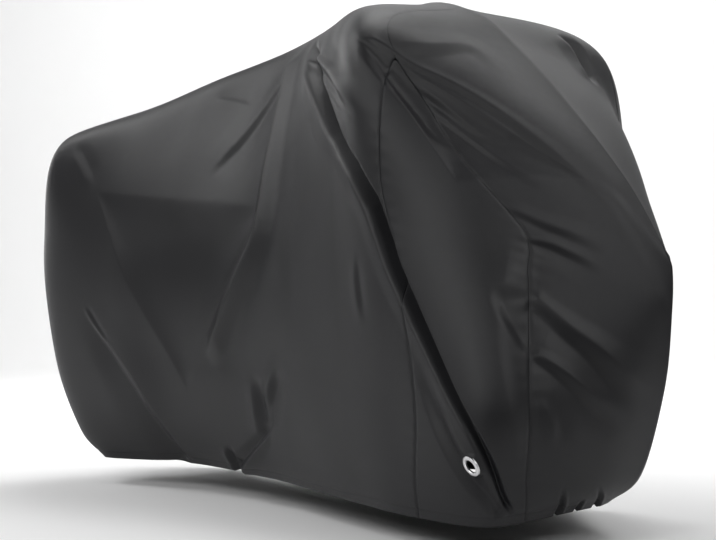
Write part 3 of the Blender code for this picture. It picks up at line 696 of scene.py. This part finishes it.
tall = heights(len(LEVEL_HEIGHTS) - 1.0, NEAR_SPACING)
side_near = panel("side_panel_near_cloth", [
    (grid("near", tall, MIDDLE, near_seam(1, tall), NEAR_SPACING, ("last",)), False),
], triangles=95000)
front = panel("front_panel_cloth", [
    (grid("near", tall, near_seam(2, tall), NOSE, NEAR_SPACING, ("first",)), False),
    (grid("far", tall, far_seam(tall), NOSE, NEAR_SPACING, ("first",)), True),
], triangles=80000)
low = heights(WEDGE_TOP, WEDGE_SPACING)
wedge_edges = near_seam(1, low), near_seam(2, low)
wedge = panel("wedge_panel_cloth", [
    (grid("near", low, *wedge_edges, WEDGE_SPACING, ("first", "last")), False),
], triangles=45000, hole=(EYELET_CENTRE - TOP_REST, EYELET_HOLE))
tall = heights(len(LEVEL_HEIGHTS) - 1.0, FAR_SPACING)
side_far = panel("side_panel_far_cloth", [
    (grid("far", tall, MIDDLE, far_seam(tall), FAR_SPACING, ("last",)), True),
], triangles=60000)

# %% [markdown]
# ## The cloth's finish
# The cloth is polyester, woven fine and coated on the inside.  It is nearly black, with a
# soft satin gloss.  Black cloth shows its shape by what it mirrors, so the roughness and
# the bump matter more than the colour.  One node group holds the weave, the faint cloudy
# patches and the dust, and each material uses it with its own values.

# %% Node group for woven, coated cloth
def add_socket(group, name, kind, way, value=None):
    """One input or output of a node group."""
    socket = group.interface.new_socket(name=name, in_out=way, socket_type=kind)
    if value is not None:
        socket.default_value = value
    return socket


def math_node(nodes, links, operation, first, second=None, third=None):
    """A Math node whose inputs are numbers or sockets; returns its output."""
    node = nodes.new("ShaderNodeMath")
    node.operation = operation
    for k, value in enumerate((first, second, third)):
        if value is None:
            continue
        if isinstance(value, (int, float)):
            node.inputs[k].default_value = value
        else:
            links.new(value, node.inputs[k])
    return node.outputs[0]


def woven_cloth_group():
    """Colour, roughness and height of fine woven cloth, from the UV map in metres."""
    group = bpy.data.node_groups.new("Woven cloth", "ShaderNodeTree")
    add_socket(group, "Colour", "NodeSocketColor", "INPUT", (0.014, 0.014, 0.016, 1))
    for name, value in (("Thread", 0.0007), ("Roughness", 0.42), ("Dust", 0.15)):
        add_socket(group, name, "NodeSocketFloat", "INPUT", value)
    add_socket(group, "Colour", "NodeSocketColor", "OUTPUT")
    for name in ("Roughness", "Height"):
        add_socket(group, name, "NodeSocketFloat", "OUTPUT")
    nodes, links = group.nodes, group.links
    inward, outward = nodes.new("NodeGroupInput"), nodes.new("NodeGroupOutput")
    uv = nodes.new("ShaderNodeUVMap")
    uv.uv_map = "UVMap"
    split = nodes.new("ShaderNodeSeparateXYZ")
    links.new(uv.outputs[0], split.inputs[0])
    turns = math_node(nodes, links, "DIVIDE", 2 * math.pi, inward.outputs["Thread"])
    threads = []
    for k in (0, 1):
        across = math_node(nodes, links, "MULTIPLY", split.outputs[k], turns)
        threads.append(math_node(nodes, links, "SINE", across))
    weave = math_node(nodes, links, "MULTIPLY", *threads)
    coord = nodes.new("ShaderNodeTexCoord")
    cloudy, fine = nodes.new("ShaderNodeTexNoise"), nodes.new("ShaderNodeTexNoise")
    for noise, scale, detail in ((cloudy, 5.0, 4.0), (fine, 55.0, 3.0)):
        links.new(coord.outputs["Object"], noise.inputs["Vector"])
        noise.inputs["Scale"].default_value = scale
        noise.inputs["Detail"].default_value = detail
    facing_up = nodes.new("ShaderNodeSeparateXYZ")
    geometry = nodes.new("ShaderNodeNewGeometry")
    links.new(geometry.outputs["Normal"], facing_up.inputs[0])
    up = math_node(nodes, links, "MAXIMUM", facing_up.outputs[2], 0.0)
    dusty = math_node(nodes, links, "MULTIPLY", up, fine.outputs["Fac"])
    dusty = math_node(nodes, links, "MULTIPLY", dusty, inward.outputs["Dust"])
    tone = nodes.new("ShaderNodeMapRange")
    for end, value in (("From Min", 0.3), ("From Max", 0.7), ("To Min", 0.82), ("To Max", 1.18)):
        tone.inputs[end].default_value = value
    links.new(cloudy.outputs["Fac"], tone.inputs["Value"])
    tinted = nodes.new("ShaderNodeVectorMath")
    tinted.operation = "SCALE"
    links.new(inward.outputs["Colour"], tinted.inputs[0])
    links.new(tone.outputs[0], tinted.inputs["Scale"])
    dust = nodes.new("ShaderNodeMix")
    dust.data_type = "RGBA"
    links.new(dusty, dust.inputs["Factor"])
    links.new(tinted.outputs[0], dust.inputs["A"])
    dust.inputs["B"].default_value = (0.10, 0.10, 0.105, 1)
    links.new(dust.outputs["Result"], outward.inputs["Colour"])
    rough = inward.outputs["Roughness"]
    rough = math_node(nodes, links, "MULTIPLY_ADD", cloudy.outputs["Fac"], 0.10, rough)
    rough = math_node(nodes, links, "MULTIPLY_ADD", weave, 0.03, rough)
    links.new(rough, outward.inputs["Roughness"])
    height = math_node(nodes, links, "MULTIPLY", weave, 0.25)
    height = math_node(nodes, links, "MULTIPLY_ADD", fine.outputs["Fac"], 0.9, height)
    links.new(height, outward.inputs["Height"])
    return group


WOVEN = woven_cloth_group()
print("node group", WOVEN.name, "with", len(WOVEN.nodes), "nodes")

# %% Cloth materials
CLOTH_BLACK = (0.0095, 0.0095, 0.0110)
FRONT_BLACK = (0.0098, 0.0098, 0.0113)


def new_material(name):
    """A material with its nodes, its links and its main shader."""
    material = bpy.data.materials.new(name)
    material.use_nodes = True
    nodes, links = material.node_tree.nodes, material.node_tree.links
    return material, nodes, links, nodes["Principled BSDF"]


def cloth_look(name, colour, roughness):
    """Near-black coated cloth with a soft satin gloss."""
    material, nodes, links, shader = new_material(name)
    shader.inputs["IOR"].default_value = 1.44
    shader.inputs["Sheen Weight"].default_value = 0.012
    shader.inputs["Sheen Roughness"].default_value = 0.4
    shader.inputs["Sheen Tint"].default_value = (0.80, 0.82, 1.0, 1.0)
    woven = nodes.new("ShaderNodeGroup")
    woven.node_tree = WOVEN
    woven.inputs["Colour"].default_value = (*colour, 1.0)
    woven.inputs["Roughness"].default_value = roughness
    bump = nodes.new("ShaderNodeBump")
    bump.inputs["Strength"].default_value = 0.25
    bump.inputs["Distance"].default_value = 0.0008
    links.new(woven.outputs["Height"], bump.inputs["Height"])
    links.new(bump.outputs["Normal"], shader.inputs["Normal"])
    links.new(woven.outputs["Colour"], shader.inputs["Base Color"])
    links.new(woven.outputs["Roughness"], shader.inputs["Roughness"])
    return material


LOOKS = {
    side_near: cloth_look("side cloth near", CLOTH_BLACK, 0.40),
    wedge: cloth_look("wedge cloth", CLOTH_BLACK, 0.41),
    front: cloth_look("front cloth", FRONT_BLACK, 0.41),
    side_far: cloth_look("side cloth far", CLOTH_BLACK, 0.40),
}
for piece, look in LOOKS.items():
    piece.data.materials.clear()
    piece.data.materials.append(look)
print(len(LOOKS), "cloth materials")

# %% [markdown]
# ## The eyelet
# A brass eyelet, plated bright, is pressed through the wedge so that a cord or a lock can
# pass.  It is a turned shape, so its section is drawn once and swept round its axis.  The
# rolled rim needs enough sides to look round close up.

# %% Turned eyelet
EYELET_SECTION = (
    (0.0140, -0.0012), (0.0140, 0.0006), (0.0146, 0.0018), (0.0160, 0.0026), (0.0182, 0.0029),
    (0.0204, 0.0025), (0.0221, 0.0015), (0.0230, 0.0004), (0.0226, 0.0000), (0.0152, 0.0000),
    (0.0152, -0.0024), (0.0222, -0.0024), (0.0228, -0.0029), (0.0215, -0.0036), (0.0165, -0.0038),
    (0.0146, -0.0030),
)
EYELET_SIDES = 72


def turned(name, section, sides, centre, axis):
    """A closed ring from a section of (radius, height) points, turned about an axis."""
    spin, centre = Vector(axis).to_track_quat("Z", "Y"), Vector(centre)
    bm = bmesh.new()
    rings = []
    for k in range(sides):
        angle = 2 * math.pi * k / sides
        rings.append([
            bm.verts.new(spin @ Vector((r * math.cos(angle), r * math.sin(angle), z)) + centre)
            for r, z in section
        ])
    for k in range(sides):
        one, two = rings[k], rings[(k + 1) % sides]
        for i in range(len(section)):
            j = (i + 1) % len(section)
            bm.faces.new((one[i], one[j], two[j], two[i])).smooth = True
    bmesh.ops.recalc_face_normals(bm, faces=bm.faces)
    mesh = bpy.data.meshes.new(name)
    bm.to_mesh(mesh)
    bm.free()
    return add_object(name, mesh)


eyelet_place = EYELET_CENTRE - TOP_REST
eyelet = turned("eyelet_ring", EYELET_SECTION, EYELET_SIDES, eyelet_place, EYELET_FACING)


def plated_metal():
    """Bright plating with faint wear."""
    material, nodes, links, shader = new_material("eyelet plating")
    shader.inputs["Metallic"].default_value = 1.0
    coord, noise = nodes.new("ShaderNodeTexCoord"), nodes.new("ShaderNodeTexNoise")
    links.new(coord.outputs["Object"], noise.inputs["Vector"])
    noise.inputs["Scale"].default_value = 240.0
    rough, tone = nodes.new("ShaderNodeMapRange"), nodes.new("ShaderNodeMix")
    rough.inputs["To Min"].default_value = 0.22
    rough.inputs["To Max"].default_value = 0.42
    links.new(noise.outputs["Fac"], rough.inputs["Value"])
    links.new(rough.outputs[0], shader.inputs["Roughness"])
    tone.data_type = "RGBA"
    tone.inputs["A"].default_value = (0.86, 0.86, 0.87, 1)
    tone.inputs["B"].default_value = (0.97, 0.97, 0.98, 1)
    links.new(noise.outputs["Fac"], tone.inputs["Factor"])
    links.new(tone.outputs["Result"], shader.inputs["Base Color"])
    return material


eyelet.data.materials.append(plated_metal())
print("eyelet", len(eyelet.data.polygons), "faces")

# %% [markdown]
# ## Stitches
# The seams and the hem are sewn with strong black thread.  Every stitch is the same short
# bead of thread, so one is made and Geometry Nodes lays it along each line of sewing.  The
# lines are taken from the folded cloth, so the stitches follow its folds.

# %% Lines of sewing
THREAD_LIFT = 0.0002
SEAM_ASIDE = 0.0045
PATH_STEP = 0.006
ABOVE_HEM = 0.004
SHORT_OF_JOIN = 0.02
SHORT_OF_CREST = 0.03
SHORT_OF_END = 0.02
AROUND_POINTS = 520


def sewing_line(half, height, section, aside):
    """Points on the cloth at some heights, a little aside from the given sections."""
    distance = np.interp(section, PLACES, SECTION_DISTANCES) + aside
    height = np.broadcast_to(height, distance.shape)
    u = np.interp(distance, SECTION_DISTANCES, PLACES)
    v = np.interp(height, LEVEL_HEIGHTS, LEVELS)
    points, out = cloth(half, u, v)
    lift = sewing(np.full(u.shape, abs(aside) or 1.0), height) + THREAD_LIFT
    return points + lift[:, None] * out - TOP_REST


def seam_heights(top):
    """Heights along a seam from just over the hem to its top."""
    return np.linspace(HEM_DEPTH + ABOVE_HEM, top, round(top / PATH_STEP))


part_way = seam_heights(JOIN_HEIGHT - SHORT_OF_JOIN)
full = seam_heights(LEVEL_HEIGHTS[-1] - SHORT_OF_CREST)
around = np.linspace(MIDDLE + SHORT_OF_END, NOSE - SHORT_OF_END, AROUND_POINTS)
LINES = [
    sewing_line("near", part_way, near_seam(1, part_way), -SEAM_ASIDE),
    sewing_line("near", full, near_seam(2, full), SEAM_ASIDE),
    sewing_line("far", full, far_seam(full), SEAM_ASIDE),
    sewing_line("near", HEM_DEPTH, around, 0.0),
    sewing_line("far", HEM_DEPTH, around, 0.0),
]
print(len(LINES), "lines of sewing")


# %% Geometry Nodes that lays stitches along lines
def stitch_group():
    """Beads of thread laid end to end along the edges of a mesh."""
    group = bpy.data.node_groups.new("Stitches along lines", "GeometryNodeTree")
    add_socket(group, "Geometry", "NodeSocketGeometry", "INPUT")
    for name, value in (
        ("Stitch spacing", 0.005), ("Stitch length", 0.0036), ("Thread thickness", 0.0006),
        ("Unevenness", 0.12),
    ):
        add_socket(group, name, "NodeSocketFloat", "INPUT", value)
    add_socket(group, "Seed", "NodeSocketInt", "INPUT", 7)
    add_socket(group, "Thread", "NodeSocketMaterial", "INPUT")
    add_socket(group, "Geometry", "NodeSocketGeometry", "OUTPUT")
    nodes, links = group.nodes, group.links
    inward, outward = nodes.new("NodeGroupInput"), nodes.new("NodeGroupOutput")
    curve, spaced = nodes.new("GeometryNodeMeshToCurve"), nodes.new("GeometryNodeResampleCurve")
    spaced.mode = "LENGTH"
    links.new(inward.outputs["Geometry"], curve.inputs["Mesh"])
    links.new(curve.outputs["Curve"], spaced.inputs["Curve"])
    links.new(inward.outputs["Stitch spacing"], spaced.inputs["Length"])
    bead = nodes.new("GeometryNodeMeshUVSphere")
    bead.inputs["Segments"].default_value = 8
    bead.inputs["Rings"].default_value = 4
    bead.inputs["Radius"].default_value = 0.5
    size = nodes.new("ShaderNodeCombineXYZ")
    links.new(inward.outputs["Thread thickness"], size.inputs[0])
    links.new(inward.outputs["Thread thickness"], size.inputs[1])
    links.new(inward.outputs["Stitch length"], size.inputs[2])
    along = nodes.new("GeometryNodeInputTangent")
    turn = nodes.new("FunctionNodeAlignRotationToVector")
    turn.axis = "Z"
    links.new(along.outputs[0], turn.inputs["Vector"])
    uneven = nodes.new("FunctionNodeRandomValue")
    low, high = nodes.new("ShaderNodeMath"), nodes.new("ShaderNodeMath")
    uneven.data_type = "FLOAT"
    low.operation, high.operation = "SUBTRACT", "ADD"
    for node in (low, high):
        node.inputs[0].default_value = 1.0
        links.new(inward.outputs["Unevenness"], node.inputs[1])
    links.new(low.outputs[0], uneven.inputs[2])
    links.new(high.outputs[0], uneven.inputs[3])
    links.new(inward.outputs["Seed"], uneven.inputs["Seed"])
    scale = nodes.new("ShaderNodeVectorMath")
    scale.operation = "SCALE"
    links.new(size.outputs[0], scale.inputs[0])
    links.new(uneven.outputs[1], scale.inputs["Scale"])
    laid = nodes.new("GeometryNodeInstanceOnPoints")
    links.new(spaced.outputs["Curve"], laid.inputs["Points"])
    links.new(bead.outputs["Mesh"], laid.inputs["Instance"])
    links.new(turn.outputs[0], laid.inputs["Rotation"])
    links.new(scale.outputs[0], laid.inputs["Scale"])
    real, painted = nodes.new("GeometryNodeRealizeInstances"), nodes.new("GeometryNodeSetMaterial")
    links.new(laid.outputs["Instances"], real.inputs[0])
    links.new(real.outputs[0], painted.inputs["Geometry"])
    links.new(inward.outputs["Thread"], painted.inputs["Material"])
    links.new(painted.outputs[0], outward.inputs["Geometry"])
    return group


# %% Thread material and stitches
def thread_look():
    """Black polyester thread with fine plies."""
    material, nodes, links, shader = new_material("sewing thread")
    coord, plies = nodes.new("ShaderNodeTexCoord"), nodes.new("ShaderNodeTexWave")
    tone = nodes.new("ShaderNodeMix")
    plies.inputs["Scale"].default_value = 900.0
    plies.inputs["Distortion"].default_value = 2.0
    links.new(coord.outputs["Object"], plies.inputs["Vector"])
    tone.data_type = "RGBA"
    tone.inputs["A"].default_value = (0.012, 0.012, 0.013, 1)
    tone.inputs["B"].default_value = (0.026, 0.026, 0.028, 1)
    links.new(plies.outputs["Fac"], tone.inputs["Factor"])
    links.new(tone.outputs["Result"], shader.inputs["Base Color"])
    shader.inputs["Roughness"].default_value = 0.55
    return material


def sewn_stitches(name, lines):
    """One mesh of stitches along the given lines of points."""
    mesh = bpy.data.meshes.new(name)
    verts, edges = [], []
    for line in lines:
        edges += [(len(verts) + k, len(verts) + k + 1) for k in range(len(line) - 1)]
        verts += [tuple(p) for p in line]
    mesh.from_pydata(verts, edges, [])
    obj = add_object(name, mesh)
    group, thread = stitch_group(), thread_look()
    sockets = [item for item in group.interface.items_tree if item.in_out == "INPUT"]
    names = {socket.name: socket.identifier for socket in sockets}
    modifier = obj.modifiers.new("Stitches", "NODES")
    modifier.node_group = group
    for setting, value in (
        ("Stitch spacing", 0.0052), ("Stitch length", 0.0036), ("Thread thickness", 0.0007),
        ("Unevenness", 0.12), ("Seed", 7), ("Thread", thread),
    ):
        modifier[names[setting]] = value
    graph = bpy.context.evaluated_depsgraph_get()
    beads = bpy.data.meshes.new_from_object(obj.evaluated_get(graph))
    obj.modifiers.clear()
    obj.data = beads
    beads.name = name
    beads.materials.clear()
    beads.materials.append(thread)
    for face in beads.polygons:
        face.material_index = 0
        face.use_smooth = True
    return obj


stitches = sewn_stitches("seam_stitches", LINES)
print("stitches", len(stitches.data.polygons), "faces")

# %% [markdown]
# ## Floor, light and camera
# A pale floor that sweeps up behind the cover and big soft lights are what a studio uses
# for black goods: the lights are seen as broad reflections, and these draw the folds.

# %% Floor and backdrop
FLOOR_Z = -1.174
SWEEP_RADIUS = 1.5
SWEEP_STEPS = 12
VIEW_ALONG, VIEW_RIGHT = Vector((-0.743, 0.669, 0)), Vector((0.669, 0.743, 0))


def sweep(name, near, far, half_width, height):
    """A floor that turns up into a back wall along the view."""
    view, side = VIEW_ALONG.normalized(), VIEW_RIGHT.normalized()
    profile = [(-near, 0.0)]
    for k in range(SWEEP_STEPS + 1):
        angle = math.pi / 2 * k / SWEEP_STEPS
        rise = SWEEP_RADIUS * (1 - math.cos(angle))
        profile.append((far + SWEEP_RADIUS * math.sin(angle), rise))
    profile.append((far + SWEEP_RADIUS, height))
    mesh = bpy.data.meshes.new(name)
    verts, faces = [], []
    for along, up in profile:
        for s in (-half_width, half_width):
            p = view * along + side * s
            verts.append((p.x, p.y, FLOOR_Z + up))
    for k in range(len(profile) - 1):
        faces.append((2 * k, 2 * k + 1, 2 * k + 3, 2 * k + 2))
    mesh.from_pydata(verts, [], faces)
    mesh.shade_smooth()
    obj = add_object(name, mesh)
    material, nodes, links, shader = new_material("studio paper")
    shader.inputs["Base Color"].default_value = (0.90, 0.90, 0.90, 1)
    shader.inputs["Roughness"].default_value = 0.9
    # The paper has no back, so the cover can also be looked at from behind the wall.
    geometry = nodes.new("ShaderNodeNewGeometry")
    seen = math_node(nodes, links, "SUBTRACT", 1.0, geometry.outputs["Backfacing"])
    links.new(seen, shader.inputs["Alpha"])
    mesh.materials.append(material)
    return obj


sweep("studio_floor", 1.2, 5.0, 9.0, 6.0)


# %% Soft studio light
def soft_light(name, place, target, size, power):
    """A white area light that looks at a point."""
    data = bpy.data.lights.new(name, "AREA")
    data.shape = "RECTANGLE"
    data.size, data.size_y = size
    data.energy = power
    obj = add_object(name, data)
    obj.location = place
    obj.rotation_mode = "QUATERNION"
    obj.rotation_quaternion = (Vector(target) - Vector(place)).to_track_quat("-Z", "Y")


MIDDLE_OF_COVER = Vector((-0.15, 0.0, -0.55))
LIGHT_DISTANCE = 4.2
LIGHT_SIZE = (1.4, 1.4)


def light_around(name, turn, up, power):
    """A light aimed at the cover; turn counts to the right from the camera, in degrees."""
    turn, up = math.radians(turn), math.radians(up)
    flat = VIEW_RIGHT * math.sin(turn) - VIEW_ALONG * math.cos(turn)
    away = flat * math.cos(up) + Vector((0, 0, math.sin(up)))
    place = MIDDLE_OF_COVER + away * LIGHT_DISTANCE
    soft_light(name, place, MIDDLE_OF_COVER, LIGHT_SIZE, power)


for row in (
    ("left back light", -141, 6, 15),
    ("left light", -110, 38, 50),
    ("left front light", -55, 22, 26),
    ("front light", -28, 25, 38),
    ("right front light", 38, 25, 24),
    ("right light", 65, 48, 32),
    ("right back light", 140, 45, 18),
    ("back light", 180, 62, 40),
):
    light_around(*row)
soft_light(
    "backdrop light", place=(-1.6, 1.6, 2.6), target=(-3.6, 4.6, -0.6), size=(3.0, 1.0), power=190
)

world = bpy.data.worlds.new("studio")
bpy.context.scene.world = world
world.use_nodes = True
world.node_tree.nodes["Background"].inputs["Color"].default_value = (1, 1, 1, 1)
world.node_tree.nodes["Background"].inputs["Strength"].default_value = 0.14
bpy.context.scene.view_settings.view_transform = "Standard"
print(len(bpy.data.lights), "lights")

# %% Camera
LENS = 103.7
CAMERA_PLACE = (3.440, -3.317, -0.536)
CAMERA_VIEW = (-0.743, 0.669, -0.0160)
camera_data = bpy.data.cameras.new("camera")
camera_data.lens = LENS
camera_data.sensor_width = 36.0
camera = add_object("camera", camera_data)
camera.location = CAMERA_PLACE
camera.rotation_mode = "QUATERNION"
camera.rotation_quaternion = Vector(CAMERA_VIEW).to_track_quat("-Z", "Y")
bpy.context.scene.camera = camera
print("camera with a lens of", LENS, "mm")

# %% [markdown]
# ## Attaching the pieces
# Each cloth piece, the eyelet and the stitches are hung under the root body, and the imported
# solids that the cloth and the eyelet stand for are hidden; the table's slots, flat sizes and
# areas are not used.

# %% Pieces, sheets and sizes
CUTS = (
    (side_near, "side_panel_near", "cloth_side_near", (1.95, 1.30), 2.05),
    (wedge, "wedge_panel_near", "cloth_wedge", (0.45, 1.00), 0.27),
    (front, "front_panel", "cloth_front", (0.80, 1.45), 0.85),
    (side_far, "side_panel_far", "cloth_side_far", (1.95, 1.30), 2.10),
)
for piece, node, slot, flat, area in CUTS:
    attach(piece, "root")
    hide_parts(node)
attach(eyelet, "root")
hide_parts("eyelet_near")
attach(stitches, "root")
